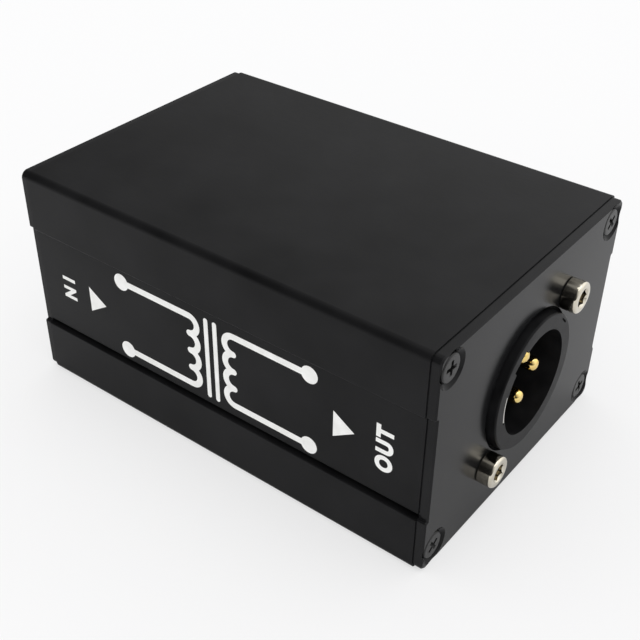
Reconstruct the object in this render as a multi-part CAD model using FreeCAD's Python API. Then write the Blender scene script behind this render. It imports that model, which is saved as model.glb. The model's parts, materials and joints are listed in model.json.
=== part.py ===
import FreeCAD, Part
import math
import os

# Ground loop isolator: a split extruded case with a three pole audio socket at each end and
# an audio transformer on a board between them.
# Millimetres. X is the long way with the output end at +X, Z is up, and the origin is at the
# middle of the underside.

# Case, which is as long and as wide as what it holds needs
case_height = 38.0
side_room = 1.6
case_wall = 1.6
floor_wall = 1.8
bottom_band = 9.8
top_band = 10.1
side_step = 0.5
edge_radius = 1.2
lip_radius = 0.2
parting_gap = 0.7
tongue_thickness = 0.7
tongue_height = 2.5
slip = 0.1
inner_radius = 0.5

# Screw channels and board rails inside the shells
corner_inset_y = 3.1
corner_inset_z = 3.2
channel_radius = 2.6
channel_slot = 1.0
rail_depth = 1.4
rail_lip = 1.1
rail_base = 6.4

# End panels and their screws
panel_thickness = 1.5
panel_inset = 0.2
panel_chamfer = 0.25
panel_step_radius = 0.3
sink_radius = 2.95
panel_screw_radius = 1.25
panel_head_radius = 2.15
panel_head_setback = 0.15
panel_head_edge = 0.3
panel_screw_length = 8.0
cross_width = 0.6
cross_length = 2.4
cross_depth = 1.1
cross_tip = 0.45
cross_turns = (35.0, 17.0, -6.0, 42.0)
thread_fit = 0.02
screw_play = 0.2

# Screws that hold the sockets
cap_gap = 0.1
cap_radius = 1.25
cap_head_radius = 2.5
cap_head_height = 2.5
cap_edge = 0.45
cap_base_edge = 0.2
cap_length = 7.5
socket_flats = 2.5
socket_mouth = 0.12
socket_turns = (-3.0, 25.0)
socket_depth = 1.3
nut_flats = 5.0
nut_height = 2.0
nut_turn = 15.0

# Parts that both sockets share
collar_wall = 1.2
collar_proud = 1.3
collar_edge = 0.3
collar_gap = 0.6
flange_margin = 3.1
flange_radius = 2.5
contact_circle = 3.81
cup_radius = 1.4
cup_bore = 1.0
cup_length = 4.5

# Output socket
output_bore = 8.3
output_depth = 14.2
output_flange = 2.4
output_insert_length = 6.0
insert_fit = 0.03
pin_radius = 1.195
pin_recess = 1.45
pin_nose = 1.0
pin_tail = 4.6
key_width = 2.6
key_height = 1.1
key_setback = 5.0
notch_width = 3.6
notch_depth = 0.65
notch_length = 1.5
notch_angle = 128.0
mark_length = 1.9
mark_width = 0.3
mark_depth = 0.3
mark_setback = 0.73
mark_angle = 44.4
spring_angle = 33.0
spring_thickness = 0.45
spring_length = 3.4
spring_setback = 0.1

# Input socket
plug_shell_room = 1.3
input_flange = 3.4
input_depth = 13.5
insert_play = 0.4
input_insert_setback = 0.6
input_base_length = 4.3
entry_radius = 1.35
entry_wall = 1.2
contact_radius = 1.6
contact_bore = 1.22
contact_slot = 0.5
chamber_play = 0.1
keyway_width = 2.8
keyway_depth = 1.3
keyway_length = 11.0

# Latch
latch_width = 6.4
latch_travel_room = 1.8
latch_side_play = 0.5
pivot_radius = 0.75
pivot_back = 2.3
pivot_gap = 2.1
pivot_boss = 1.7
pivot_play = 0.05
pivot_end = 1.5
tab_proud = 1.6
tab_gap = 2.0
tab_span = 3.9
tab_edge = 0.5
plate_back = 2.8
hook_reach = 0.5
hook_front = 0.6
hook_thickness = 1.4
hook_rest_gap = 0.1
ear_wall = 1.9
ear_end_wall = 1.4
bracket_depth = 4.7
bracket_wall = 1.3
hairpin_thickness = 0.3
hairpin_width = 4.4
hairpin_play = 0.05

# Board
board_thickness = 1.6
board_play = 0.1
board_end_gap = 2.0
board_side_gap = 0.7
hole_play = 0.1

# Transformer
core_height = 20.0
core_stack = 10.0
core_leg = 4.0
core_stand = 0.3
bobbin_wall = 0.7
bobbin_flange = 0.9
bobbin_reach = 4.0
coil_play = 0.1
coil_build = 1.35
tape_build = 0.2
coil_room = 0.3
coil_corner = 1.0
frame_thickness = 0.6
frame_width = 9.0
frame_tab = 3.0
tab_drop = 1.0
rail_width = 3.6
leg_radius = 0.4
leg_pitch = 5.0
leg_inset = 1.4
leg_drop = 1.2

# Wires
wire_radius = 0.55
wire_spread = 6.0
wire_fall = 6.3
wire_seat = 2.4
wire_gap = 4.1
wire_room = 1.1
wire_drop = 0.9
wire_bend = 0.45

input_bore = output_bore + plug_shell_room
input_insert_radius = output_bore - insert_play
collar_radius = input_bore + collar_wall
mark_radius = collar_radius - mark_setback
pivot_offset = collar_radius + pivot_gap
tab_inner = pivot_offset + tab_gap
bobbin_x = core_stack / 2 + coil_play + bobbin_wall + bobbin_reach
wire_x = bobbin_x + wire_gap
output_cup_x = wire_x + wire_room
output_back = output_cup_x + pin_tail
output_floor = output_back + output_insert_length
collar_face = output_floor + output_depth
panel_face = collar_face - collar_proud
half_length = panel_face - panel_thickness
output_barrel_back = output_floor - output_insert_length / 2
input_floor = collar_face - input_depth
input_back = input_floor - input_base_length
input_cup_x = input_back - pin_tail
socket_height = case_height / 2
tab_outer = tab_inner + tab_span
fork_outer = tab_outer + latch_travel_room + ear_end_wall
inner_width = fork_outer + side_room
mid_width = inner_width + case_wall
half_width = mid_width + side_step
cap_reach = collar_radius + collar_gap + cap_head_radius + cap_gap
flange_half = cap_reach / math.sqrt(2) + flange_margin
top_step = case_height - top_band
parting_top = bottom_band + parting_gap
tongue_top = bottom_band + tongue_height
tongue_face = inner_width + tongue_thickness
corner_y = half_width - corner_inset_y
board_top = rail_base + board_play / 2 + board_thickness
core_base = board_top + core_stand
window_width = coil_play + bobbin_wall + 2 * coil_build + tape_build + coil_room
core_half = 2 * core_leg + window_width
pivot_x = half_length - pivot_back
hook_x = half_length + hook_front
hook_back = hook_x - hook_thickness
neck_x = output_barrel_back - board_end_gap
V = FreeCAD.Vector
tiny = 1e-6
X_AXIS = V(1, 0, 0)
Z_AXIS = V(0, 0, 1)


def outline(corners, place):
    """A closed wire through (u, v, radius) corners, each rounded by its own radius."""
    points = [V(u, v, 0) for u, v, radius in corners]
    count = len(points)
    edges = []
    ends = []
    for i, (u, v, radius) in enumerate(corners):
        here = points[i]
        back = (points[i - 1] - here).normalize()
        ahead = (points[(i + 1) % count] - here).normalize()
        if radius == 0:
            ends.append((here, None, here))
            continue
        half = math.acos(max(-1.0, min(1.0, back.dot(ahead)))) / 2
        reach = radius / math.tan(half)
        bisector = (back + ahead).normalize()
        middle = here + bisector * (radius / math.sin(half) - radius)
        ends.append((here + back * reach, middle, here + ahead * reach))
    for i in range(count):
        start, middle, stop = ends[i]
        following = ends[(i + 1) % count][0]
        if middle is not None:
            edges.append(Part.Arc(place(start), place(middle), place(stop)).toShape())
        if stop.distanceToPoint(following) > tiny:
            edges.append(Part.LineSegment(place(stop), place(following)).toShape())
    return Part.Wire(edges)


def prism_x(corners, x_from, x_to):
    """A (y, z, radius) section drawn out along X."""
    wire = outline(corners, lambda p: V(x_from, p.x, p.y))
    return Part.Face(wire).extrude(V(x_to - x_from, 0, 0))


def prism_z(corners, z_from, z_to):
    """An (x, y, radius) section drawn out along Z."""
    wire = outline(corners, lambda p: V(p.x, p.y, z_from))
    return Part.Face(wire).extrude(V(0, 0, z_to - z_from))


def block(x_from, x_to, y_from, y_to, z_from, z_to):
    return Part.makeBox(x_to - x_from, y_to - y_from, z_to - z_from, V(x_from, y_from, z_from))


def rod(x_from, x_to, y, z, radius):
    return Part.makeCylinder(radius, x_to - x_from, V(x_from, y, z), X_AXIS)


def edges_at(shape, x):
    """The edges that lie flat in the plane at one place along X."""
    return [edge for edge in shape.Edges
            if edge.BoundBox.XLength < tiny and abs(edge.BoundBox.XMin - x) < slip]


def mirrored(corners):
    """The (y, z, radius) corners of one side, followed by their mirror images."""
    return corners + [(-y, z, radius) for y, z, radius in reversed(corners)]


def rectangle(width, height, radius, middle=0.0):
    right, top = width / 2, height / 2
    return [(right, middle - top, radius), (right, middle + top, radius),
            (-right, middle + top, radius), (-right, middle - top, radius)]


def to_input_end(shape):
    """Turn a shape that was built at the output end round to the input end."""
    turned = shape.copy()
    turned.rotate(V(0, 0, 0), Z_AXIS, 180)
    return turned


def corner_centres():
    return [(side * corner_y, z) for z in (corner_inset_z, case_height - corner_inset_z)
            for side in (-1, 1)]


def cap_centres():
    """The two socket screws lie on one diagonal of a square, just clear of the collar's hole."""
    half = cap_reach / math.sqrt(2)
    return [(half, socket_height + half), (-half, socket_height - half)]


def contact_centres():
    """Contacts 1 and 2 above and below the middle, contact 3 to the right."""
    return [(0, socket_height + contact_circle), (0, socket_height - contact_circle),
            (contact_circle, socket_height)]


def screw_channel(y, z):
    """A round rib along the corner and its open bore, with a bevelled mouth for the screw's cone."""
    rib = rod(-half_length, half_length, y, z, channel_radius)
    bore_radius = panel_screw_radius + thread_fit
    bore = rod(-half_length, half_length, y, z, bore_radius)
    mouth_radius = sink_radius - panel_thickness
    depth = mouth_radius - panel_screw_radius
    for end in (-1, 1):
        mouth = Part.makeCone(mouth_radius, bore_radius, depth, V(end * half_length, y, z),
                              V(-end, 0, 0))
        bore = bore.fuse(mouth)
    slot = block(-half_length, half_length, -channel_slot / 2, channel_slot / 2, 0, 2 * channel_radius)
    inward = math.degrees(math.atan2(-y, socket_height - z))
    slot.rotate(V(0, 0, 0), X_AXIS, -inward)
    slot.translate(V(0, y, z))
    return rib, bore.fuse(slot)


def add_channels(shell, centres):
    for y, z in centres:
        rib, bore = screw_channel(y, z)
        shell = shell.fuse(rib).cut(bore)
    return shell.removeSplitter()


def upper_shell():
    side = [(mid_width, parting_top, lip_radius),
            (mid_width, top_step, side_step / 2),
            (half_width, top_step, side_step / 2),
            (half_width, case_height, edge_radius)]
    rebate = [(inner_width, case_height - case_wall, inner_radius),
              (inner_width, tongue_top + slip, 0),
              (tongue_face + slip, tongue_top + slip, 0),
              (tongue_face + slip, parting_top, 0)]
    shell = prism_x(shell_section(side, rebate), -half_length, half_length)
    return add_channels(shell, corner_centres()[2:])


def shell_section(outside, inside):
    """Outside corners up one side and down the other, then the inside ones back again."""
    return (outside + [(-y, z, radius) for y, z, radius in reversed(outside)]
            + [(-y, z, radius) for y, z, radius in reversed(inside)] + inside)


def lower_shell():
    outside = [(half_width, bottom_band, lip_radius), (half_width, 0, edge_radius)]
    inside = [(inner_width, floor_wall, inner_radius), (inner_width, tongue_top, 0),
              (tongue_face, tongue_top, 0), (tongue_face, bottom_band, 0)]
    shell = prism_x(shell_section(outside, inside), -half_length, half_length)
    shell = add_channels(shell, corner_centres()[:2])
    for side in (-1, 1):
        shell = shell.fuse(board_rail(side))
    return shell.removeSplitter()


def board_rail(side):
    """A rib along the side wall with a slot for the edge of the board."""
    slot_top = rail_base + board_thickness + board_play
    wall = inner_width + slip
    face = inner_width - rail_depth
    return prism_x([(side * wall, rail_base - rail_lip, 0), (side * wall, slot_top + rail_lip, 0),
                    (side * face, slot_top + rail_lip, 0), (side * face, slot_top, 0),
                    (side * (inner_width - slip), slot_top, 0),
                    (side * (inner_width - slip), rail_base, 0),
                    (side * face, rail_base, 0), (side * face, rail_base - rail_lip, 0)],
                   -half_length, half_length)


def panel_blank():
    """The plate has the stepped outline of the two shells, a little smaller all round."""
    y_band = half_width - panel_inset
    y_mid = mid_width - panel_inset
    side = [(y_band, panel_inset, edge_radius), (y_band, bottom_band, panel_step_radius),
            (y_mid, bottom_band, slip), (y_mid, top_step, slip),
            (y_band, top_step, panel_step_radius),
            (y_band, case_height - panel_inset, edge_radius)]
    plate = prism_x(mirrored(side), half_length, panel_face)
    return plate.makeChamfer(panel_chamfer, edges_at(plate, panel_face))


def countersink(y, z):
    """A straight sided cone of 90 degrees through the plate."""
    tip_radius = sink_radius - panel_thickness
    return Part.makeCone(tip_radius, sink_radius, panel_thickness, V(half_length, y, z), X_AXIS)


def end_panel(opening):
    plate = panel_blank().cut(opening)
    for y, z in corner_centres():
        plate = plate.cut(countersink(y, z))
    for y, z in cap_centres():
        plate = plate.cut(rod(half_length, panel_face, y, z, cap_radius + screw_play))
    return plate.removeSplitter()


def collar_hole():
    return rod(half_length, panel_face, 0, socket_height, collar_radius + collar_gap)


def latch_hole():
    room = latch_width / 2 + latch_side_play + slip
    return prism_x([(-tab_outer - latch_travel_room - slip, socket_height - room, inner_radius),
                    (-tab_outer - latch_travel_room - slip, socket_height + room, inner_radius),
                    (0, socket_height + room, 0), (0, socket_height - room, 0)],
                   half_length, panel_face)


def cross_recess(face):
    """Two crossed slots whose ends slope in towards the floor of the recess."""
    floor = face - cross_depth
    across = block(floor, face, -cross_length / 2, cross_length / 2, -cross_width / 2, cross_width / 2)
    upright = across.copy()
    upright.rotate(V(0, 0, 0), X_AXIS, 90)
    reach = Part.makeCone(cross_tip, cross_length / 2, cross_depth, V(floor, 0, 0), X_AXIS)
    return across.fuse(upright).common(reach)


def panel_screws():
    """Four screws with raised flat heads, which are smaller than their sinks and nearly flush."""
    screws = []
    top = panel_face - panel_head_setback
    cone_top = panel_face - (sink_radius - panel_head_radius) + thread_fit
    cone_base = cone_top - (panel_head_radius - panel_screw_radius)
    for (y, z), turn in zip(corner_centres(), cross_turns):
        rim = rod(cone_top, top, y, z, panel_head_radius)
        cone = Part.makeCone(panel_screw_radius, panel_head_radius, cone_top - cone_base,
                             V(cone_base, y, z), X_AXIS)
        shank = rod(top - panel_screw_length, cone_base, y, z, panel_screw_radius)
        recess = cross_recess(top)
        recess.rotate(V(0, 0, 0), X_AXIS, turn)
        recess.translate(V(0, y, z))
        rim = rim.makeFillet(panel_head_edge, edges_at(rim, top))
        screws.append(rim.fuse(cone).fuse(shank).cut(recess).removeSplitter())
    return Part.makeCompound(screws)


def hexagon(flats, turn):
    """The corners of a hexagon by its width across flats, as (u, v, radius)."""
    radius = flats / math.sqrt(3)
    angles = [math.radians(60 * i + turn) for i in range(6)]
    return [(radius * math.cos(a), radius * math.sin(a), 0) for a in angles]


def cap_screws():
    """Two screws with round heads, a hexagon socket with a bevelled mouth and a shank each."""
    screws = []
    top = panel_face + cap_head_height
    mouth_radius = socket_flats / math.sqrt(3) + socket_mouth
    mouth_depth = mouth_radius - socket_flats / 2
    for (y, z), turn in zip(cap_centres(), socket_turns):
        head = rod(panel_face, top, y, z, cap_head_radius)
        head = head.makeFillet(cap_edge, edges_at(head, top))
        head = head.makeFillet(cap_base_edge, edges_at(head, panel_face))
        shank = rod(panel_face - cap_length, panel_face, y, z, cap_radius)
        socket = prism_x(hexagon(socket_flats, turn), top - socket_depth, top)
        socket.translate(V(0, y, z))
        mouth = Part.makeCone(socket_flats / 2, mouth_radius, mouth_depth, V(top - mouth_depth, y, z),
                              X_AXIS)
        screws.append(head.fuse(shank).cut(socket).cut(mouth).removeSplitter())
    return Part.makeCompound(screws)


def cap_nuts(flange):
    nuts = []
    seat = half_length - flange
    for y, z in cap_centres():
        nut = prism_x(hexagon(nut_flats, nut_turn), seat - nut_height, seat)
        nut.translate(V(0, y, z))
        nuts.append(nut.cut(rod(seat - nut_height, seat, y, z, cap_radius + thread_fit)))
    return Part.makeCompound(nuts)


def flange_plate(thickness):
    side = 2 * flange_half
    return prism_x(rectangle(side, side, flange_radius, socket_height),
                   half_length - thickness, half_length)


def cap_clearance(shape, thickness):
    for y, z in cap_centres():
        shape = shape.cut(rod(half_length - thickness, half_length, y, z, cap_radius + screw_play))
    return shape


def barrel(back):
    """The round body of a socket with a bevelled front rim."""
    body = rod(back, collar_face, 0, socket_height, collar_radius)
    return body.makeFillet(collar_edge, edges_at(body, collar_face))


def output_shell():
    """Square flange, collar and cavity, with the key rib that a plug's slot runs over."""
    shell = barrel(output_barrel_back).fuse(flange_plate(output_flange))
    shell = shell.cut(rod(output_back, collar_face, 0, socket_height, output_bore))
    key = block(output_floor, collar_face - key_setback, -output_bore - slip, key_height - output_bore,
                socket_height - key_width / 2, socket_height + key_width / 2)
    shell = shell.fuse(key)
    notch = block(collar_face - notch_length, collar_face, 0, output_bore + notch_depth,
                  -notch_width / 2, notch_width / 2)
    notch.rotate(V(0, 0, 0), X_AXIS, notch_angle)
    notch.translate(V(0, 0, socket_height))
    shell = shell.cut(notch)
    mark = block(collar_face - mark_depth, collar_face + slip, mark_radius - mark_width / 2,
                 mark_radius + mark_width / 2, -mark_length / 2, mark_length / 2)
    mark.rotate(V(0, 0, 0), X_AXIS, mark_angle)
    mark.translate(V(0, 0, socket_height))
    shell = shell.cut(mark)
    front = collar_face - spring_setback
    pocket = curved_strip(front - spring_length, collar_face + slip, output_bore - slip,
                          output_bore + spring_thickness, insert_fit)
    return cap_clearance(shell.cut(pocket), output_flange).removeSplitter()


def curved_strip(x_from, x_to, inner, outer, play):
    """Part of a ring on the left of the cavity, with play at its back and along its sides."""
    angle = spring_angle + 2 * math.degrees(play / outer)
    corners = [(x_from - play, inner), (x_to, inner), (x_to, outer + play), (x_from - play, outer + play)]
    points = [V(x, -radius, socket_height) for x, radius in corners]
    section = Part.Face(Part.makePolygon(points + points[:1]))
    middle = V(0, 0, socket_height)
    section.rotate(middle, X_AXIS, -angle / 2)
    return section.revolve(middle, X_AXIS, angle)


def ground_spring():
    """A curved strip let into the wall, with its front end just behind the rim."""
    front = collar_face - spring_setback
    return curved_strip(front - spring_length, front, output_bore, output_bore + spring_thickness, 0)


def output_insert():
    """The moulded disc that carries the three pins."""
    disc = rod(output_back, output_floor, 0, socket_height, output_bore - insert_fit)
    for y, z in contact_centres():
        disc = disc.cut(rod(output_back, output_floor, y, z, pin_radius + insert_fit))
    return disc


def solder_cup(mouth, root, y, z):
    """A cup with its upper half cut away, open towards the middle of the case."""
    cup = rod(mouth, root, y, z, cup_radius)
    cup = cup.cut(rod(mouth, root - cup_radius, y, z, cup_bore))
    opening = block(mouth, mouth + cup_length / 2, y - cup_radius, y + cup_radius,
                    z, z + cup_radius)
    return cup.cut(opening)


def output_pins():
    tip = collar_face - pin_recess
    pins = []
    for y, z in contact_centres():
        pin = rod(output_back, tip, y, z, pin_radius)
        pin = pin.makeFillet(pin_nose, edges_at(pin, tip))
        pins.append(pin.fuse(solder_cup(output_cup_x, output_back, y, z)).removeSplitter())
    return pins


def input_housing():
    """Flange with a fork for the latch, and a barrel with a window that stops the hook at rest."""
    housing = barrel(input_floor).fuse(flange_plate(input_flange)).fuse(latch_fork())
    housing = housing.cut(rod(input_back, collar_face, 0, socket_height, input_bore))
    room = latch_width / 2 + latch_side_play
    pocket = block(half_length - input_flange, half_length, -tab_outer - latch_travel_room,
                   -collar_radius, socket_height - room, socket_height + room)
    window = block(hook_back - hook_rest_gap, panel_face + slip, -collar_radius, 0,
                   socket_height - room, socket_height + room)
    housing = housing.cut(pocket).cut(window)
    housing = housing.cut(pivot_rod(pivot_radius + thread_fit, room + pivot_end))
    return cap_clearance(housing, input_flange).removeSplitter()


def latch_fork():
    """Two ears beside the latch, joined behind it by the wall that the hairpin pushes on."""
    half = latch_width / 2 + latch_side_play + ear_wall
    inner = half - ear_wall
    back = half_length - input_flange - bracket_depth
    outer = -fork_outer
    fork = block(back, half_length, outer, -tab_inner, socket_height - half, socket_height + half)
    root = block(half_length - input_flange, half_length, -tab_inner, -collar_radius,
                 socket_height - half, socket_height + half)
    hollow = block(back + bracket_wall, half_length - input_flange, outer, -tab_inner,
                   socket_height - inner, socket_height + inner)
    return fork.cut(hollow).fuse(root)


def pivot_rod(radius, half):
    return Part.makeCylinder(radius, 2 * half, V(pivot_x, -pivot_offset, socket_height - half), Z_AXIS)


def latch_pin():
    return pivot_rod(pivot_radius, latch_width / 2 + latch_side_play + pivot_end)


def latch_lever():
    """Tab, plate and hook in one section, turning on a boss between the fork's ears."""
    tab_face = panel_face + tab_proud
    plate_x = half_length - plate_back
    hook_tip = -input_bore + hook_reach
    low = socket_height - latch_width / 2
    high = socket_height + latch_width / 2
    corners = [(tab_face, -tab_inner, tab_edge), (half_length - hook_front, -tab_inner, lip_radius),
               (half_length - hook_front, -pivot_offset - hook_front, lip_radius),
               (hook_x, -pivot_offset, lip_radius),
               (hook_x, hook_tip - hook_thickness / 2, 0),
               (hook_x - hook_thickness / 2, hook_tip, 0),
               (hook_back, hook_tip, 0),
               (hook_back, -pivot_offset + pivot_boss / 2, lip_radius),
               (pivot_x, -pivot_offset + pivot_boss / 2, 0),
               (plate_x, -pivot_offset, 0), (plate_x, -tab_outer, lip_radius),
               (tab_face, -tab_outer, tab_edge)]
    lever = prism_z(corners, low, high)
    boss = Part.makeCylinder(pivot_boss, latch_width, V(pivot_x, -pivot_offset, low), Z_AXIS)
    lever = lever.fuse(boss)
    lever = lever.cut(pivot_rod(pivot_radius + pivot_play, latch_width))
    return lever.removeSplitter()


def latch_spring():
    """A flat strip bent into a hairpin between the fork's back wall and the latch."""
    back = half_length - input_flange - bracket_depth + bracket_wall + hairpin_play
    front = half_length - plate_back - hairpin_play
    outer = (front - back) / 2
    middle = (front + back) / 2
    bend = -tab_inner - outer
    end = -tab_outer + hairpin_thickness
    low = socket_height - hairpin_width / 2
    loop = Part.makeCylinder(outer, hairpin_width, V(middle, bend, low), Z_AXIS)
    hollow = Part.makeCylinder(outer - hairpin_thickness, hairpin_width, V(middle, bend, low), Z_AXIS)
    loop = loop.cut(hollow)
    loop = loop.common(block(back, front, bend, bend + outer, low, low + hairpin_width))
    legs = []
    for x in (back, front - hairpin_thickness):
        legs.append(block(x, x + hairpin_thickness, end, bend, low, low + hairpin_width))
    return loop.fuse(legs).removeSplitter()


def input_insert():
    """The round core that carries the contacts, with the keyway down one side."""
    front = collar_face - input_insert_setback
    core = rod(input_back, front, 0, socket_height, input_insert_radius)
    core = core.fuse(rod(input_back, input_floor, 0, socket_height, input_bore - insert_fit))
    keyway = block(front - keyway_length, front, -input_insert_radius - slip,
                   keyway_depth - input_insert_radius,
                   socket_height - keyway_width / 2, socket_height + keyway_width / 2)
    core = core.cut(keyway)
    for y, z in contact_centres():
        core = core.cut(rod(front - entry_wall, front, y, z, entry_radius))
        core = core.cut(rod(input_back, front - entry_wall, y, z, contact_radius + chamber_play))
    return core.removeSplitter()


def input_contacts():
    """Split sockets with solder cups."""
    tip = collar_face - input_insert_setback - entry_wall - chamber_play
    contacts = []
    for y, z in contact_centres():
        tube = rod(input_back, tip, y, z, contact_radius)
        bore_floor = tip - keyway_length
        tube = tube.cut(rod(bore_floor, tip, y, z, contact_bore))
        slot = block(bore_floor + contact_radius, tip, y - contact_radius, y + contact_radius,
                     z - contact_slot / 2, z + contact_slot / 2)
        tube = tube.cut(slot)
        contacts.append(tube.fuse(solder_cup(input_cup_x, input_back, y, z)).removeSplitter())
    return contacts


def circuit_board():
    """A board cut out at both ends round the sockets."""
    top_half = inner_width - slip - board_play
    end = half_length - slip
    cut = flange_half + board_side_gap
    low = board_top - board_thickness
    quarter = [(end, -top_half, 0), (end, -cut, 0), (neck_x, -cut, 0), (neck_x, cut, 0),
               (end, cut, 0), (end, top_half, 0)]
    corners = quarter + [(-x, -y, radius) for x, y, radius in quarter]
    board = prism_z(corners, low, board_top)
    for x, y in transformer_legs():
        board = board.cut(Part.makeCylinder(leg_radius + hole_play, board_thickness, V(x, y, low)))
    for side in (-1, 1):
        for y in wire_holes():
            hole = Part.makeCylinder(wire_radius + hole_play, board_thickness,
                                     V(side * wire_x, side * y, low))
            board = board.cut(hole)
        board = board.cut(frame_tab_block(side, hole_play))
    return board


def wire_holes():
    return [-wire_spread, 0, wire_spread]


def core_face(corners):
    """A (y, z) section of the lamination stack, centred on the board."""
    return prism_x([(y, z + core_base, 0) for y, z in corners], -core_stack / 2, core_stack / 2)


def transformer_e_core():
    half = core_half
    top = core_height - core_leg
    return core_face([(-half, 0), (half, 0), (half, top), (half - core_leg, top),
                      (half - core_leg, core_leg), (core_leg, core_leg), (core_leg, top),
                      (-core_leg, top), (-core_leg, core_leg), (core_leg - half, core_leg),
                      (core_leg - half, top), (-half, top)])


def transformer_i_core():
    half = core_half
    return core_face([(-half, core_height - core_leg), (half, core_height - core_leg),
                      (half, core_height), (-half, core_height)])


def ring(x_in, y_in, build, corner, z_from, z_to):
    """A rectangular tube round the middle leg."""
    inner = rectangle(2 * x_in, 2 * y_in, corner)
    outer = rectangle(2 * (x_in + build), 2 * (y_in + build), corner + build)
    tube = prism_z(outer, z_from, z_to)
    return tube.cut(prism_z(inner, z_from, z_to))


def coil_start():
    """Half sizes of the bobbin's tube, along X and along Y."""
    return (core_stack / 2 + coil_play + bobbin_wall, core_leg + coil_play + bobbin_wall)


def coil_span():
    low = core_base + core_leg + coil_play + bobbin_flange
    high = core_base + core_height - core_leg - coil_play - bobbin_flange
    return low, high


def transformer_bobbin():
    x_tube, y_tube = coil_start()
    low, high = coil_span()
    foot = low - bobbin_flange
    top = high + bobbin_flange
    reach_x = bobbin_x
    reach_y = core_leg + window_width - coil_play
    tube = ring(x_tube - bobbin_wall, y_tube - bobbin_wall, bobbin_wall, 0.0, foot, top)
    for z in (foot, high):
        flange = block(-reach_x, reach_x, -reach_y, reach_y, z, z + bobbin_flange)
        hole = block(bobbin_wall - x_tube, x_tube - bobbin_wall, bobbin_wall - y_tube,
                     y_tube - bobbin_wall, z, z + bobbin_flange)
        tube = tube.fuse(flange.cut(hole))
    for side in (-1, 1):
        near, far = side * (reach_x - rail_width), side * reach_x
        rail = block(min(near, far), max(near, far), -reach_y, reach_y, board_top, foot)
        tube = tube.fuse(rail)
    for x, y in transformer_legs():
        tube = tube.cut(Part.makeCylinder(leg_radius, foot - board_top, V(x, y, board_top)))
    return tube.removeSplitter()


def transformer_legs():
    x = bobbin_x - leg_inset
    return [(side * x, row * leg_pitch) for side in (-1, 1) for row in (-1, 0, 1)]


def transformer_pins():
    foot = coil_span()[0] - bobbin_flange
    bottom = board_top - board_thickness - leg_drop
    return Part.makeCompound([Part.makeCylinder(leg_radius, foot - bottom, V(x, y, bottom))
                              for x, y in transformer_legs()])


def winding(layer, build):
    """One layer of the coil: the first lies on the bobbin and each next one on the last."""
    x_tube, y_tube = coil_start()
    low, high = coil_span()
    return ring(x_tube + layer, y_tube + layer, build, coil_corner / 2 + layer, low, high)


def frame_tab_block(side, play):
    """The tab of the frame where it goes down through the board."""
    near = core_half - play
    far = core_half + frame_thickness + play
    low, high = sorted((side * near, side * far))
    half = frame_tab / 2 + play
    bottom = board_top - board_thickness - tab_drop
    return block(-half, half, low, high, bottom, board_top)


def transformer_frame():
    """A strap over the stack with a tab through the board at each side."""
    half = core_half
    top = core_base + core_height
    outer = half + frame_thickness
    strap = prism_x([(half, board_top, 0), (outer, board_top, 0),
                     (outer, top + frame_thickness, frame_thickness),
                     (-outer, top + frame_thickness, frame_thickness),
                     (-outer, board_top, 0), (-half, board_top, 0), (-half, top, 0),
                     (half, top, 0)], -frame_width / 2, frame_width / 2)
    for side in (-1, 1):
        strap = strap.fuse(frame_tab_block(side, 0))
    return strap.removeSplitter()


def tube_path(points):
    """Straight runs joined by tangent arcs, each as large as its two runs allow."""
    edges = []
    last = points[0]
    for before, here, after in zip(points, points[1:], points[2:]):
        back = before - here
        ahead = after - here
        shorter = min(back.Length, ahead.Length)
        back.normalize()
        ahead.normalize()
        half = math.acos(back.dot(ahead)) / 2
        reach = wire_bend * shorter
        radius = reach * math.tan(half)
        bisector = (back + ahead).normalize()
        middle = here + bisector * (radius / math.sin(half) - radius)
        start = here + back * reach
        stop = here + ahead * reach
        edges.append(Part.LineSegment(last, start).toShape())
        edges.append(Part.Arc(start, middle, stop).toShape())
        last = stop
    edges.append(Part.LineSegment(last, points[-1]).toShape())
    return Part.Wire(edges)


def wire(contact, hole_y, cup_mouth):
    """From the cup of a contact down to its hole in the board."""
    y, z = contact
    board_low = board_top - board_thickness - wire_drop
    points = [V(cup_mouth + wire_seat, y, z), V(wire_x, y, z), V(wire_x, hole_y, z - wire_fall),
              V(wire_x, hole_y, board_low)]
    if abs(hole_y - y) < wire_radius:
        points = [points[0], points[1], points[3]]
    path = tube_path(points)
    section = Part.Wire(Part.makeCircle(wire_radius, points[0], X_AXIS))
    return path.makePipeShell([section], True, False)


def socket_wires(cup_mouth):
    """Contact 1 goes left, contact 2 straight down and contact 3 right."""
    contacts = contact_centres()
    holes = wire_holes()
    return [wire(contact, hole, cup_mouth) for contact, hole in zip(contacts, holes)]


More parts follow.
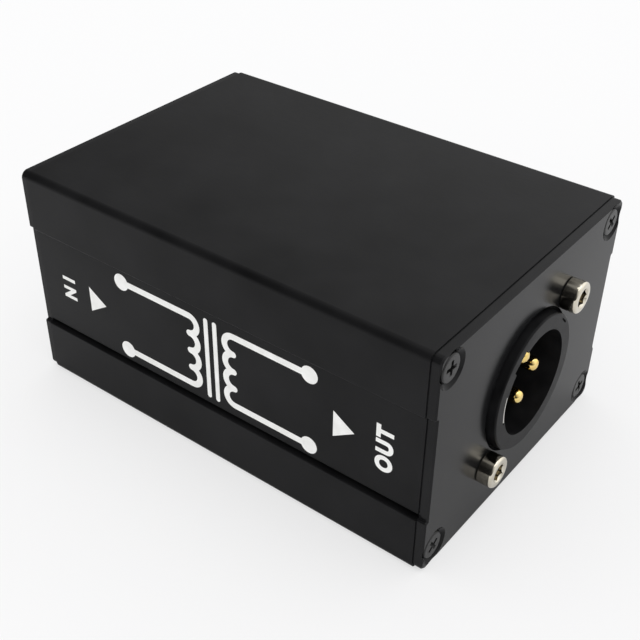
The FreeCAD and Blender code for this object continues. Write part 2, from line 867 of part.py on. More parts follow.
def build():
    parts = {
        "upper_shell": upper_shell(),
        "lower_shell": lower_shell(),
        "output_end_panel": end_panel(collar_hole()),
        "input_end_panel": to_input_end(end_panel(collar_hole().fuse(latch_hole()))),
        "output_panel_screws": panel_screws(),
        "input_panel_screws": to_input_end(panel_screws()),
        "output_socket_screws": cap_screws(),
        "input_socket_screws": to_input_end(cap_screws()),
        "output_socket_nuts": cap_nuts(output_flange),
        "input_socket_nuts": to_input_end(cap_nuts(input_flange)),
        "output_socket_shell": output_shell(),
        "output_socket_insert": output_insert(),
        "output_ground_spring": ground_spring(),
        "input_socket_housing": to_input_end(input_housing()),
        "input_socket_insert": to_input_end(input_insert()),
        "latch_lever": to_input_end(latch_lever()),
        "latch_pin": to_input_end(latch_pin()),
        "latch_spring": to_input_end(latch_spring()),
        "circuit_board": circuit_board(),
        "transformer_e_core": transformer_e_core(),
        "transformer_i_core": transformer_i_core(),
        "transformer_bobbin": transformer_bobbin(),
        "transformer_pins": transformer_pins(),
        "primary_winding": winding(0, coil_build),
        "secondary_winding": winding(coil_build, coil_build),
        "winding_tape": winding(2 * coil_build, tape_build),
        "transformer_frame": transformer_frame(),
    }
    for number, pin in enumerate(output_pins(), 1):
        parts["output_pin_%d" % number] = pin
    for number, contact in enumerate(input_contacts(), 1):
        parts["input_contact_%d" % number] = to_input_end(contact)
    for number, lead in enumerate(socket_wires(output_cup_x), 1):
        parts["output_wire_%d" % number] = lead
    for number, lead in enumerate(socket_wires(input_cup_x), 1):
        parts["input_wire_%d" % number] = to_input_end(lead)
    return parts


os.makedirs("parts", exist_ok=True)
for name, shape in build().items():
    shape.exportStep("parts/" + name + ".step")
    print(name, len(shape.Solids), round(shape.Volume, 2), shape.isValid())
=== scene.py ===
# Ground loop isolator: finishes, smooth surfaces, coil, print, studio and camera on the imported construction
import bmesh
import bpy
import json
import math
from mathutils import Matrix, Vector


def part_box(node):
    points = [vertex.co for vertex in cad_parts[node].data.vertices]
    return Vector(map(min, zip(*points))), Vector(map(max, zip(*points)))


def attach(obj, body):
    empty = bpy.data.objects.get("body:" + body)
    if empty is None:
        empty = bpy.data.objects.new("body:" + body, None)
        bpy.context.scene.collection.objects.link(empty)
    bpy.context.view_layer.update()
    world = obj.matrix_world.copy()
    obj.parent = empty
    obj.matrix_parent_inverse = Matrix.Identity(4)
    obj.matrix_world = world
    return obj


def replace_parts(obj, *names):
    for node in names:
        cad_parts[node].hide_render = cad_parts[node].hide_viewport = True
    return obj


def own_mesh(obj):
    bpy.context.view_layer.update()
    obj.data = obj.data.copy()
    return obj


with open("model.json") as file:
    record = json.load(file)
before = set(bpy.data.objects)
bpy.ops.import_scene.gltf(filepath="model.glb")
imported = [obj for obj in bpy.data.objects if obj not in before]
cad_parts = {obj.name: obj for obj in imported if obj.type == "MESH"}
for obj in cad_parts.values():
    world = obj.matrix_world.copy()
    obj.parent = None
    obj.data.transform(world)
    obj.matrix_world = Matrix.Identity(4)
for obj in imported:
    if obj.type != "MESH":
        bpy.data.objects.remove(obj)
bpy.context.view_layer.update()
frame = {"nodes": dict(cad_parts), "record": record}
nodes = frame["nodes"]
slots = {part["node"]: part["material_slot"] for part in frame["record"]["subparts"]}
mm = 0.001
print("frame loaded:", len(nodes), "nodes")


# Small helpers for colours, nodes and meshes

def colour(code):  # sRGB hex to the linear colour that a socket takes
    parts = [int(code[i:i + 2], 16) / 255 for i in (1, 3, 5)]
    linear = [p / 12.92 if p <= 0.04045 else ((p + 0.055) / 1.055) ** 2.4 for p in parts]
    return (*linear, 1.0)


def addNode(tree, kind, sockets=None, **settings):  # a socket takes a value or another node's output
    node = tree.nodes.new(kind)
    for key, value in settings.items():
        setattr(node, key, value)
    for key, value in (sockets or {}).items():
        if isinstance(value, bpy.types.NodeSocket):
            tree.links.new(value, node.inputs[key])
        else:
            node.inputs[key].default_value = value
    return node


def newPiece(name, mesh, material):  # a bmesh becomes an object with one material
    data = bpy.data.meshes.new(name)
    mesh.to_mesh(data)
    mesh.free()
    data.materials.append(material)
    piece = bpy.data.objects.new(name, data)
    bpy.context.scene.collection.objects.link(piece)
    return piece


def bakeModifiers(piece):  # the evaluated shape becomes the piece's own plain mesh
    bpy.context.view_layer.update()
    evaluated = piece.evaluated_get(bpy.context.evaluated_depsgraph_get())
    data = bpy.data.meshes.new_from_object(evaluated)
    piece.modifiers.clear()
    piece.data = data


def plateMesh(outlines, thickness):  # each flat outline becomes a closed plate, thickened along a vector
    mesh = bmesh.new()
    for outline in outlines:
        face = mesh.faces.new([mesh.verts.new(corner) for corner in outline])
        grown = bmesh.ops.extrude_face_region(mesh, geom=[face])
        moved = [v for v in grown["geom"] if isinstance(v, bmesh.types.BMVert)]
        bmesh.ops.translate(mesh, verts=moved, vec=thickness)
    bmesh.ops.triangulate(mesh, faces=[f for f in mesh.faces if len(f.verts) > 4])
    bmesh.ops.recalc_face_normals(mesh, faces=mesh.faces)
    return mesh


# Finishes. Widths and depths are in millimetres: grain is the fine texture, patch the slow change of tone.

finishes = {
    # Anodised aluminium, extruded: black dye under a satin oxide skin, so it is even, a little cloudy,
    # and goes pale only where it mirrors the bright room at a low angle.
    "case_black": {"name": "blackAnodisedExtrusion", "dark": "#0f0f10", "light": "#1b1b1c", "patch": 11.0,
                   "grain": 0.22, "stretch": (0.12, 1, 1), "rough": (0.33, 0.41), "depth": 0.0012,
                   "IOR": 1.21},
    # Anodised aluminium sheet, rolled: flatter than the extrusion, so screws and ring mirror in it, blurred.
    "panel_black": {"name": "blackAnodisedSheet", "dark": "#131314", "light": "#19191a", "patch": 8.0,
                    "grain": 0.18, "stretch": (1, 0.2, 1), "rough": (0.17, 0.23), "depth": 0.0008,
                    "IOR": 1.225},
    # Black oxide on steel: thin and worn by the driver, so the flat heads are greyer than the case.
    "screw_black": {"name": "blackOxideSteel", "dark": "#29292a", "light": "#343433", "patch": 1.2,
                    "grain": 0.12, "stretch": (1, 1, 1), "rough": (0.30, 0.42), "depth": 0.003,
                    "Metallic": 0.6},
    # Nickel plated steel: a bright, faintly warm mirror with fine turning marks.
    "screw_nickel": {"name": "nickelPlatedSteel", "dark": "#cfc8b8", "light": "#ddd7c8", "patch": 1.5,
                     "grain": 0.10, "stretch": (1, 0.4, 0.4), "rough": (0.05, 0.10), "depth": 0.0004,
                     "Metallic": 1.0},
    # Die cast zinc, black chromate: satin, slightly grained, nearly black where nothing bright faces it.
    "socket_black": {"name": "blackCastZinc", "dark": "#131314", "light": "#1b1b1c", "patch": 2.5,
                     "grain": 0.15, "stretch": (1, 1, 1), "rough": (0.30, 0.40), "depth": 0.0020,
                     "IOR": 1.15},
    # Glass filled nylon, moulded: matt and the darkest piece, it swallows the light down in the socket.
    "insert_black": {"name": "glassFilledNylon", "dark": "#070707", "light": "#0d0d0e", "patch": 3.0,
                     "grain": 0.12, "stretch": (1, 1, 1), "rough": (0.48, 0.60), "depth": 0.004,
                     "Specular IOR Level": 0.35},
    # Tin plated phosphor bronze strip: soft silver with a drawn grain along the strip.
    "spring_tin": {"name": "tinPlatedBronze", "dark": "#cbc9c3", "light": "#e2e0da", "patch": 1.0,
                   "grain": 0.10, "stretch": (0.2, 1, 1), "rough": (0.18, 0.26), "depth": 0.001,
                   "Metallic": 1.0},
    # Gold flash over nickel: pale yellow mirror, deeper yellow where it mirrors itself.
    "contact_gold": {"name": "goldPlatedBrass", "dark": "#ecca76", "light": "#f6dc94", "patch": 0.8,
                     "grain": 0.10, "stretch": (0.3, 1, 1), "rough": (0.06, 0.10), "depth": 0.0002,
                     "Metallic": 1.0},
    # Acetal, moulded: smooth and waxy with a broad soft shine.
    "latch_black": {"name": "blackAcetal", "dark": "#111112", "light": "#171718", "patch": 2.0,
                    "grain": 0.15, "stretch": (1, 1, 1), "rough": (0.30, 0.38), "depth": 0.002,
                    "Specular IOR Level": 0.45},
    # Spring steel strip: cool grey with rolling lines.
    "spring_steel": {"name": "springSteelStrip", "dark": "#96979c", "light": "#aeb0b4", "patch": 1.5,
                     "grain": 0.10, "stretch": (0.2, 0.2, 1), "rough": (0.20, 0.30), "depth": 0.001,
                     "Metallic": 1.0},
    # Epoxy glass laminate under green solder mask: glossy film over a faint weave.
    "board_green": {"name": "epoxyGlassBoard", "dark": "#0a4522", "light": "#0f5a2d", "patch": 4.0,
                    "grain": 0.50, "stretch": (1, 1, 1), "rough": (0.22, 0.30), "depth": 0.006,
                    "Coat Weight": 0.3},
    # Silicon steel sheets with burnt oxide edges: dull blue grey, each sheet a little different.
    "core_steel": {"name": "siliconSteelSheets", "dark": "#55565c", "light": "#7b7c82", "patch": 2.0,
                   "grain": 0.25, "stretch": (2, 0.1, 0.1), "rough": (0.38, 0.52), "depth": 0.008,
                   "Metallic": 0.9},
    # Nylon, moulded in black: satin with a light spark eroded texture.
    "bobbin_nylon": {"name": "mouldedNylon", "dark": "#19191b", "light": "#232325", "patch": 3.0,
                     "grain": 0.15, "stretch": (1, 1, 1), "rough": (0.42, 0.52), "depth": 0.003,
                     "Specular IOR Level": 0.4},
    # Tinned brass wire, dipped: pale and slightly wavy.
    "pin_tinned": {"name": "tinnedBrassPin", "dark": "#a6a7a9", "light": "#c4c5c6", "patch": 0.8,
                   "grain": 0.20, "stretch": (1, 1, 0.3), "rough": (0.24, 0.34), "depth": 0.004,
                   "Metallic": 1.0},
    # Enamelled copper wire: orange brown metal seen through clear varnish.
    "winding_copper": {"name": "enamelledCopperWire", "dark": "#93431d", "light": "#bb6231", "patch": 1.5,
                       "grain": 0.15, "stretch": (0.3, 0.3, 1), "rough": (0.20, 0.30), "depth": 0.002,
                       "Metallic": 1.0, "Coat Weight": 0.5},
    # Polyester film tape: glossy yellow, a bit uneven where it lies on the wire below.
    "tape_yellow": {"name": "polyesterTape", "dark": "#c29819", "light": "#d6ae33", "patch": 2.5,
                    "grain": 0.60, "stretch": (0.3, 0.3, 1), "rough": (0.16, 0.26), "depth": 0.010,
                    "Coat Weight": 0.4},
    # Tinned steel strip, folded: bright grey with rolling lines.
    "frame_steel": {"name": "tinnedSteelStrip", "dark": "#8d8e92", "light": "#abacaf", "patch": 3.0,
                    "grain": 0.20, "stretch": (1, 0.15, 1), "rough": (0.24, 0.36), "depth": 0.003,
                    "Metallic": 1.0},
    # Soft vinyl wire jackets: smooth and slightly waxy.
    "wire_red": {"name": "redVinylJacket", "dark": "#8c1411", "light": "#a01e18", "patch": 2.0,
                 "grain": 0.30, "stretch": (1, 1, 1), "rough": (0.30, 0.40), "depth": 0.003},
    "wire_black": {"name": "blackVinylJacket", "dark": "#0f0f10", "light": "#161617", "patch": 2.0,
                   "grain": 0.30, "stretch": (1, 1, 1), "rough": (0.30, 0.40), "depth": 0.003},
    "wire_white": {"name": "whiteVinylJacket", "dark": "#c8c7c1", "light": "#d8d7d1", "patch": 2.0,
                   "grain": 0.30, "stretch": (1, 1, 1), "rough": (0.30, 0.40), "depth": 0.003},
    # White screen ink: thick, matt and a touch grainy at the surface.
    "ink": {"name": "whiteScreenInk", "dark": "#f1f1ee", "light": "#fbfbf9", "patch": 1.5,
            "grain": 0.25, "stretch": (1, 1, 1), "rough": (0.50, 0.62), "depth": 0.004,
            "Specular IOR Level": 0.3},
}
shaderSockets = ("Metallic", "Specular IOR Level", "IOR", "Coat Weight")
texture = {"fineDetail": 3.0, "broadDetail": 2.0, "toneRange": (0.3, 0.7), "roughRange": (0.7, 1.3)}


def finish(look):  # two noises mix the tone, the roughness and the relief of one surface
    material = bpy.data.materials.new(look["name"])
    material.use_nodes = True
    tree = material.node_tree
    tree.nodes.clear()
    where = addNode(tree, "ShaderNodeTexCoord").outputs["Object"]
    drawn = addNode(tree, "ShaderNodeMapping", {"Vector": where, "Scale": look["stretch"]})
    fine = addNode(tree, "ShaderNodeTexNoise", {
        "Vector": drawn.outputs["Vector"], "Detail": texture["fineDetail"],
        "Scale": 1 / (look["grain"] * mm)})
    broad = addNode(tree, "ShaderNodeTexNoise", {
        "Vector": where, "Detail": texture["broadDetail"], "Scale": 1 / (look["patch"] * mm)})
    toneLow, toneHigh = texture["toneRange"]
    tone = addNode(tree, "ShaderNodeMapRange", {
        "Value": broad.outputs["Fac"], "From Min": toneLow, "From Max": toneHigh})
    shade = addNode(tree, "ShaderNodeMix", {"Factor": tone.outputs["Result"], "A": colour(look["dark"]),
                                            "B": colour(look["light"])}, data_type="RGBA")
    uneven = addNode(tree, "ShaderNodeMath", {0: fine.outputs["Fac"], 1: broad.outputs["Fac"]},
                     operation="ADD")
    roughLow, roughHigh = texture["roughRange"]
    rough = addNode(tree, "ShaderNodeMapRange", {
        "Value": uneven.outputs[0], "From Min": roughLow, "From Max": roughHigh,
        "To Min": look["rough"][0], "To Max": look["rough"][1]})
    relief = addNode(tree, "ShaderNodeBump", {"Height": fine.outputs["Fac"],
                                              "Distance": look["depth"] * mm})
    surface = addNode(tree, "ShaderNodeBsdfPrincipled", {
        "Base Color": shade.outputs["Result"], "Roughness": rough.outputs["Result"],
        "Normal": relief.outputs["Normal"], **{key: look[key] for key in shaderSockets if key in look}})
    addNode(tree, "ShaderNodeOutputMaterial", {"Surface": surface.outputs["BSDF"]})
    return material


materials = {slot: finish(look) for slot, look in finishes.items()}
for name, node in nodes.items():
    node.data.materials.clear()
    node.data.materials.append(materials[slots[name]])
print("finishes:", len(materials))


# Round and filleted pieces: the node's triangles welded, smooth on curves, true at edges

smoothing = {"weld": 0.001, "sharpAngle": 32,
             "case": ("upper_shell", "lower_shell", "output_end_panel", "input_end_panel",
                      "output_panel_screws", "input_panel_screws", "output_socket_screws",
                      "input_socket_screws", "output_socket_nuts", "input_socket_nuts",
                      "output_socket_shell", "output_socket_insert", "output_ground_spring",
                      "output_pin_1", "output_pin_2", "output_pin_3", "input_socket_housing",
                      "input_socket_insert", "input_contact_1", "input_contact_2", "input_contact_3",
                      "latch_pin", "latch_spring", "transformer_pins", "winding_tape",
                      "output_wire_1", "output_wire_2", "output_wire_3",
                      "input_wire_1", "input_wire_2", "input_wire_3"),
             "latch": ("latch_lever",)}
pinNose = {"pins": ("output_pin_1", "output_pin_2", "output_pin_3"), "radius": 1.0, "rings": 12}


def roundNose(mesh, name):  # the pin's nose again with more rings, because it mirrors the whole room
    low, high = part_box(name)
    nose = pinNose["radius"] * mm
    start = high.x - nose
    axis = Vector((0, (low.y + high.y) / 2, (low.z + high.z) / 2))
    coarse = [v for v in mesh.verts if v.co.x > start + smoothing["weld"] * mm]
    bmesh.ops.delete(mesh, geom=coarse, context="VERTS")
    rim = [e for e in mesh.edges if e.is_boundary]
    onRim = rim[0].verts[0].co
    shaft = (Vector((0, onRim.y, onRim.z)) - axis).length
    for ring in range(1, pinNose["rings"] + 1):
        angle = math.pi / 2 * ring / pinNose["rings"]
        grown = bmesh.ops.extrude_edge_only(mesh, edges=rim)["geom"]
        rim = [e for e in grown if isinstance(e, bmesh.types.BMEdge) and e.is_boundary]
        for vert in {v for e in rim for v in e.verts}:
            out = Vector((0, vert.co.y, vert.co.z)) - axis
            place = axis + out.normalized() * (shaft - nose + nose * math.cos(angle))
            vert.co = (start + nose * math.sin(angle), place.y, place.z)
    bmesh.ops.contextual_create(mesh, geom=rim)
    bmesh.ops.recalc_face_normals(mesh, faces=mesh.faces)


def smoothPiece(name, body):  # stands in for the node of that name and rides on its body
    mesh = bmesh.new()
    mesh.from_mesh(nodes[name].data)
    bmesh.ops.remove_doubles(mesh, verts=mesh.verts, dist=smoothing["weld"] * mm)
    if name in pinNose["pins"]:
        roundNose(mesh, name)
    for face in mesh.faces:
        face.smooth = True
    for edge in mesh.edges:
        edge.smooth = edge.calc_face_angle(math.pi) < math.radians(smoothing["sharpAngle"])
    piece = newPiece(name + "_smooth", mesh, materials[slots[name]])
    if name not in pinNose["pins"]:  # wide flats keep their shading where a fillet meets them
        weighted = piece.modifiers.new("weightedNormal", "WEIGHTED_NORMAL")
        weighted.keep_sharp = True
        bakeModifiers(piece)
    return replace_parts(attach(piece, body), name)


smoothed = {name: smoothPiece(name, body) for body in ("case", "latch") for name in smoothing[body]}
print("smooth pieces:", len(smoothed))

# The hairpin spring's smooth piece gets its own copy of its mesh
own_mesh(smoothed["latch_spring"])


# Transformer: sheets and turns of wire, repeated along a line

def rowTree():  # copies of a mesh in a row, each a little out of place
    tree = bpy.data.node_groups.new("copiesInARow", "GeometryNodeTree")
    for label, kind in (("Geometry", "Geometry"), ("Count", "Int"), ("Spacing", "Vector"),
                        ("Looseness", "Vector"), ("Seed", "Int"), ("Material", "Material")):
        tree.interface.new_socket(name=label, in_out="INPUT", socket_type="NodeSocket" + kind)
    tree.interface.new_socket(name="Geometry", in_out="OUTPUT", socket_type="NodeSocketGeometry")
    given = addNode(tree, "NodeGroupInput").outputs
    line = addNode(tree, "GeometryNodeMeshLine", {"Count": given["Count"], "Offset": given["Spacing"],
                                                  "Start Location": (0, 0, 0)})
    chance = addNode(tree, "FunctionNodeRandomValue", {"Min": (-1, -1, -1), "Max": (1, 1, 1),
                                                       "Seed": given["Seed"]}, data_type="FLOAT_VECTOR")
    shift = addNode(tree, "ShaderNodeVectorMath", {0: chance.outputs["Value"], 1: given["Looseness"]},
                    operation="MULTIPLY")
    places = addNode(tree, "GeometryNodeSetPosition", {"Geometry": line.outputs["Mesh"],
                                                       "Offset": shift.outputs["Vector"]})
    copies = addNode(tree, "GeometryNodeInstanceOnPoints", {"Points": places.outputs["Geometry"],
                                                            "Instance": given["Geometry"]})
    whole = addNode(tree, "GeometryNodeRealizeInstances", {"Geometry": copies.outputs["Instances"]})
    painted = addNode(tree, "GeometryNodeSetMaterial", {"Geometry": whole.outputs["Geometry"],
                                                        "Material": given["Material"]})
    addNode(tree, "NodeGroupOutput", {"Geometry": painted.outputs["Geometry"]})
    return tree


copiesInARow = rowTree()


def repeatInARow(node, mesh, count, spacing, looseness=(0, 0, 0), seed=0):  # the row stands in for the node
    material = materials[slots[node]]
    piece = newPiece(node + "_rows", mesh, material)
    row = piece.modifiers.new("row", "NODES")
    row.node_group = copiesInARow
    given = {item.name: item.identifier for item in copiesInARow.interface.items_tree
             if item.in_out == "INPUT"}
    for key, value in (("Count", count), ("Spacing", spacing), ("Looseness", looseness),
                       ("Seed", seed), ("Material", material)):
        row[given[key]] = value
    bakeModifiers(piece)
    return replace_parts(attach(piece, "case"), node)


core = {"legWidth": 4.0, "sheetPitch": 0.5, "sheetGap": 0.05, "looseness": 0.03, "seed": 7}


def coreSheets(node, corners):  # corners are (y, z) of one stamped sheet
    low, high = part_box(node)
    pitch = core["sheetPitch"] * mm
    mesh = plateMesh([[(low.x, y, z) for y, z in corners]],
                     ((core["sheetPitch"] - core["sheetGap"]) * mm, 0, 0))
    repeatInARow(node, mesh, round((high.x - low.x) / pitch), (pitch, 0, 0),
                 (0, core["looseness"] * mm, 0), core["seed"])


coil = {"wire": 0.42, "sides": 8, "cornerRadius": 0.8, "cornerSteps": 4, "fill": 0.98}


def wireLoop(mesh, halfX, halfY, z, radius):  # one closed turn with rounded corners
    corner = coil["cornerRadius"] * mm
    rings = []
    for quarter, (signX, signY) in enumerate(((1, 1), (-1, 1), (-1, -1), (1, -1))):
        for step in range(coil["cornerSteps"] + 1):
            angle = math.radians(90 * quarter + 90 * step / coil["cornerSteps"])
            out = Vector((math.cos(angle), math.sin(angle), 0))
            centre = Vector((signX * (halfX - corner), signY * (halfY - corner), z)) + out * corner
            ring = []
            for side in range(coil["sides"]):
                turn = 2 * math.pi * side / coil["sides"]
                ring.append(mesh.verts.new(centre + out * radius * math.cos(turn)
                                           + Vector((0, 0, radius * math.sin(turn)))))
            rings.append(ring)
    for i, ring in enumerate(rings):
        after = rings[(i + 1) % len(rings)]
        for side in range(coil["sides"]):
            other = (side + 1) % coil["sides"]
            mesh.faces.new((ring[side], ring[other], after[other], after[side]))


def windingTurns(node, inner):  # inner is the half size along X of what the wire lies on
    low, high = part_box(node)
    build = high.x - inner
    layers = max(1, round(build / (coil["wire"] * mm)))
    radius = build / layers / 2
    turns = int((high.z - low.z) / (2 * radius))
    pitch = (high.z - low.z) / turns
    mesh = bmesh.new()
    for layer in range(layers):
        inset = radius + 2 * radius * layer
        wireLoop(mesh, high.x - inset, high.y - inset, low.z + pitch / 2, radius * coil["fill"])
    bmesh.ops.recalc_face_normals(mesh, faces=mesh.faces)
    for face in mesh.faces:
        face.smooth = True
    repeatInARow(node, mesh, turns, (0, 0, pitch))


def transformer():  # the sheets stay inside their solids, so the looseness comes off the half width
    low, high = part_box("transformer_e_core")
    half, leg = high.y - core["looseness"] * mm, core["legWidth"] * mm
    seat = low.z + leg
    right = [(half, low.z), (half, high.z), (half - leg, high.z), (half - leg, seat), (leg, seat),
             (leg, high.z)]
    coreSheets("transformer_e_core", right + [(-y, z) for y, z in reversed(right)])
    low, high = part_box("transformer_i_core")
    half = high.y - core["looseness"] * mm
    coreSheets("transformer_i_core", [(-half, low.z), (half, low.z), (half, high.z), (-half, high.z)])
    inner, outer = (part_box(node)[1].x for node in ("primary_winding", "secondary_winding"))
    windingTurns("primary_winding", inner - (outer - inner))
    windingTurns("secondary_winding", inner)


transformer()
print("transformer: sheets and turns")


# Print on the long side. Places are millimetres along X and Z on the wall.

printLayout = {"wallDepth": 0.5, "middleHeight": 19.05, "film": 0.03, "stroke": 1.1, "turns": 4,
               "turnRadius": 1.6, "coilOffset": 4.3, "leadEnd": 18.2, "padRadius": 1.45,
               "coreOffset": 0.85, "coreWidth": 0.8, "coreOverhang": 0.4, "arrowFrom": 22.4,
               "arrowLength": 3.6, "arrowHeight": 4.6}
printSteps = {"pad": 30, "turnOutside": 14, "turnInside": 12, "betweenTurns": 8, "coreEnd": 10, "letter": 8}
printWords = {"IN": {"middle": -30.8, "capHeight": 2.85, "length": 4.0, "turn": -90, "spacing": 1.7,
                     "bold": 0.15},
              "OUT": {"middle": 30.95, "capHeight": 2.9, "length": 8.05, "turn": 90, "spacing": 1.25,
                      "bold": 0.17}}


def arc(centre, radius, start, stop, steps):
    angles = [math.radians(start + (stop - start) * i / steps) for i in range(steps + 1)]
    return [(centre[0] + radius * math.cos(a), centre[1] + radius * math.sin(a)) for a in angles]


def windingOutline(layout):  # one winding bulging to the right, with a lead and a round pad at each end
    radius, half = layout["turnRadius"], layout["stroke"] / 2
    turns, pad = layout["turns"], layout["padRadius"]
    lead = layout["leadEnd"] - layout["coilOffset"]
    top = turns * radius
    corner = math.degrees(math.acos(radius / (radius + half)))
    padAngle = math.degrees(math.asin(half / pad))
    topLead = list(reversed(arc((-lead, top), pad, padAngle, 360 - padAngle, printSteps["pad"])))
    bottomLead = [(x, -y) for x, y in reversed(topLead)]
    outside, inside = [], []
    for i in range(turns):
        middle = top - radius - 2 * radius * i
        high = 90 if i == 0 else 90 - corner
        low = -90 if i == turns - 1 else corner - 90
        outside += arc((0, middle), radius + half, high, low, printSteps["turnOutside"])
    for i in reversed(range(turns)):
        middle = top - radius - 2 * radius * i
        inside += arc((0, middle), radius - half, -90, 90, printSteps["turnInside"])
        if i > 0:
            inside += arc((0, middle + radius), half, 270, 90, printSteps["betweenTurns"])[1:-1]
    return topLead + outside + bottomLead + inside


def wordMesh(text, word, wall, layout):  # a bold word, stretched to its printed size and turned on the wall
    curve = bpy.data.curves.new(text, "FONT")
    curve.body = text
    curve.size = word["capHeight"] * mm
    curve.offset = word["bold"] * mm
    curve.space_character = word["spacing"]
    curve.extrude = layout["film"] * mm / 2
    curve.resolution_u = printSteps["letter"]
    holder = bpy.data.objects.new(text + "Curve", curve)
    bpy.context.scene.collection.objects.link(holder)
    bpy.context.view_layer.update()
    data = bpy.data.meshes.new_from_object(holder.evaluated_get(bpy.context.evaluated_depsgraph_get()))
    bpy.data.objects.remove(holder)
    xs = [v.co.x for v in data.vertices]
    ys = [v.co.y for v in data.vertices]
    centred = Matrix.Translation((-(min(xs) + max(xs)) / 2, -(min(ys) + max(ys)) / 2, 0))
    sized = Matrix.Diagonal((word["length"] * mm / (max(xs) - min(xs)),
                             word["capHeight"] * mm / (max(ys) - min(ys)), 1, 1))
    spin = Matrix.Rotation(math.radians(word["turn"]), 4, "Z")
    upright = Matrix.Rotation(math.radians(90), 4, "X")
    spot = Matrix.Translation((word["middle"] * mm, -(wall + layout["film"] / 2) * mm,
                               layout["middleHeight"] * mm))
    data.transform(spot @ upright @ spin @ sized @ centred)
    mesh = bmesh.new()
    mesh.from_mesh(data)
    bmesh.ops.remove_doubles(mesh, verts=mesh.verts, dist=smoothing["weld"] * mm)
    bmesh.ops.recalc_face_normals(mesh, faces=mesh.faces)
    return mesh


def wallPrint(layout):  # a transformer drawing between the two words
    wall = -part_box("upper_shell")[0].y / mm - layout["wallDepth"]
    up = layout["middleHeight"]
    shifted = [(x - layout["coilOffset"], z + up) for x, z in windingOutline(layout)]
    outlines = [shifted, [(-x, z) for x, z in reversed(shifted)]]
    half = layout["turns"] * layout["turnRadius"] + layout["stroke"] / 2 + layout["coreOverhang"]
    end = layout["coreWidth"] / 2
    for middle in (-layout["coreOffset"], layout["coreOffset"]):
        outlines.append(arc((middle, up + half - end), end, 0, 180, printSteps["coreEnd"])
                        + arc((middle, up - half + end), end, 180, 360, printSteps["coreEnd"]))
    for start in (layout["arrowFrom"], -layout["arrowFrom"] - layout["arrowLength"]):
        outlines.append([(start, up - layout["arrowHeight"] / 2), (start + layout["arrowLength"], up),
                         (start, up + layout["arrowHeight"] / 2)])
    onWall = [[(x * mm, -wall * mm, z * mm) for x, z in outline] for outline in outlines]
    prints = {"wallSymbol": plateMesh(onWall, (0, -layout["film"] * mm, 0))}
    for text, word in printWords.items():
        prints["wallWord" + text.title()] = wordMesh(text, word, wall, layout)
    for name, mesh in prints.items():
        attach(newPiece(name, mesh, materials["ink"]), "case")


wallPrint(printLayout)
print("print on the side")


# Floor, light and camera

studio = {"floorSize": 6.0, "floorColour": "#eeeeef", "whiteShare": 0.6, "roomLight": 0.95,
          "brightTowards": (0.5, 0.65, 0.57), "brightest": 1.45, "darkest": 0.04,
          "sunPower": 0.5, "sunAngle": 50, "sunFrom": (0.10, 0.05, 1.0)}


def whiteFloor():  # matt paper, mixed with white for the camera alone
    material = bpy.data.materials.new("paleStudioPaper")
    material.use_nodes = True
    tree = material.node_tree
    tree.nodes.clear()
    paper = addNode(tree, "ShaderNodeBsdfDiffuse", {"Color": colour(studio["floorColour"])})
    glow = addNode(tree, "ShaderNodeEmission", {"Strength": 1.0})
    seen = addNode(tree, "ShaderNodeLightPath")
    share = addNode(tree, "ShaderNodeMath", {0: seen.outputs["Is Camera Ray"],
                                             1: studio["whiteShare"]}, operation="MULTIPLY")
    both = addNode(tree, "ShaderNodeMixShader", {"Fac": share.outputs[0], 1: paper.outputs[0],
                                                 2: glow.outputs[0]})
    addNode(tree, "ShaderNodeOutputMaterial", {"Surface": both.outputs[0]})
    mesh = bmesh.new()
    bmesh.ops.create_grid(mesh, x_segments=2, y_segments=2, size=studio["floorSize"] / 2)
    newPiece("studioFloor", mesh, material)


def softSun():
    lamp = bpy.data.lights.new("wideSoftLight", "SUN")
    lamp.energy = studio["sunPower"]
    lamp.angle = math.radians(studio["sunAngle"])
    holder = bpy.data.objects.new("wideSoftLight", lamp)
    bpy.context.scene.collection.objects.link(holder)
    holder.rotation_euler = (-Vector(studio["sunFrom"])).to_track_quat("-Z", "Y").to_euler()


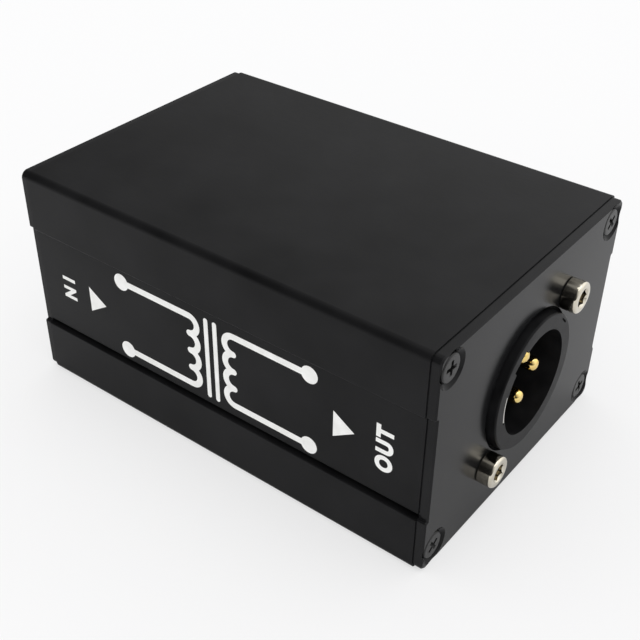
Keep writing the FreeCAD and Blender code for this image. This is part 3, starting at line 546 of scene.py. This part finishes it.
def studioRoom():  # even light on the object; mirrors see a room with a bright wall behind and a dark front
    world = bpy.data.worlds.new("studioRoom")
    bpy.context.scene.world = world
    world.use_nodes = True
    tree = world.node_tree
    tree.nodes.clear()
    direction = addNode(tree, "ShaderNodeTexCoord").outputs["Generated"]
    towards = addNode(tree, "ShaderNodeVectorMath", {0: direction, 1: studio["brightTowards"]},
                      operation="DOT_PRODUCT")
    frontToBack = addNode(tree, "ShaderNodeMapRange", {
        "Value": towards.outputs["Value"], "From Min": 0.0, "From Max": 1.0,
        "To Min": studio["darkest"], "To Max": studio["brightest"]})
    seen = addNode(tree, "ShaderNodeLightPath")
    mirrored = addNode(tree, "ShaderNodeMix", {"Factor": seen.outputs["Is Glossy Ray"],
                                               "A": studio["roomLight"],
                                               "B": frontToBack.outputs["Result"]})
    strength = addNode(tree, "ShaderNodeMix", {"Factor": seen.outputs["Is Camera Ray"],
                                               "A": mirrored.outputs["Result"], "B": 1.0})
    room = addNode(tree, "ShaderNodeBackground", {"Color": (1, 1, 1, 1),
                                                  "Strength": strength.outputs["Result"]})
    addNode(tree, "ShaderNodeOutputWorld", {"Surface": room.outputs["Background"]})


photoCamera = {"place": (87.70, -114.98, 116.08), "aim": (-7.926, 11.262, 0.0), "roll": -0.788,
               "lens": 60.13, "shiftX": 0.0020, "shiftY": 0.0171, "clipStart": 0.01}


def setCamera():  # the photo's viewing angle, fitted to the edges of the case
    data = bpy.data.cameras.new("photoCamera")
    data.lens = photoCamera["lens"]
    data.shift_x = photoCamera["shiftX"]
    data.shift_y = photoCamera["shiftY"]
    data.clip_start = photoCamera["clipStart"]
    camera = bpy.data.objects.new("photoCamera", data)
    bpy.context.scene.collection.objects.link(camera)
    place = Vector(photoCamera["place"]) * mm
    forward = (Vector(photoCamera["aim"]) * mm - place).normalized()
    right = forward.cross(Vector((0, 0, 1))).normalized()
    down = forward.cross(right)
    turn = math.radians(photoCamera["roll"])
    rolledRight = right * math.cos(turn) + down * math.sin(turn)
    rolledDown = down * math.cos(turn) - right * math.sin(turn)
    axes = Matrix((rolledRight, -rolledDown, -forward)).transposed().to_4x4()
    camera.matrix_world = Matrix.Translation(place) @ axes
    bpy.context.scene.camera = camera


whiteFloor()
softSun()
studioRoom()
setCamera()
bpy.context.scene.view_settings.view_transform = "Standard"
print("studio and camera set")
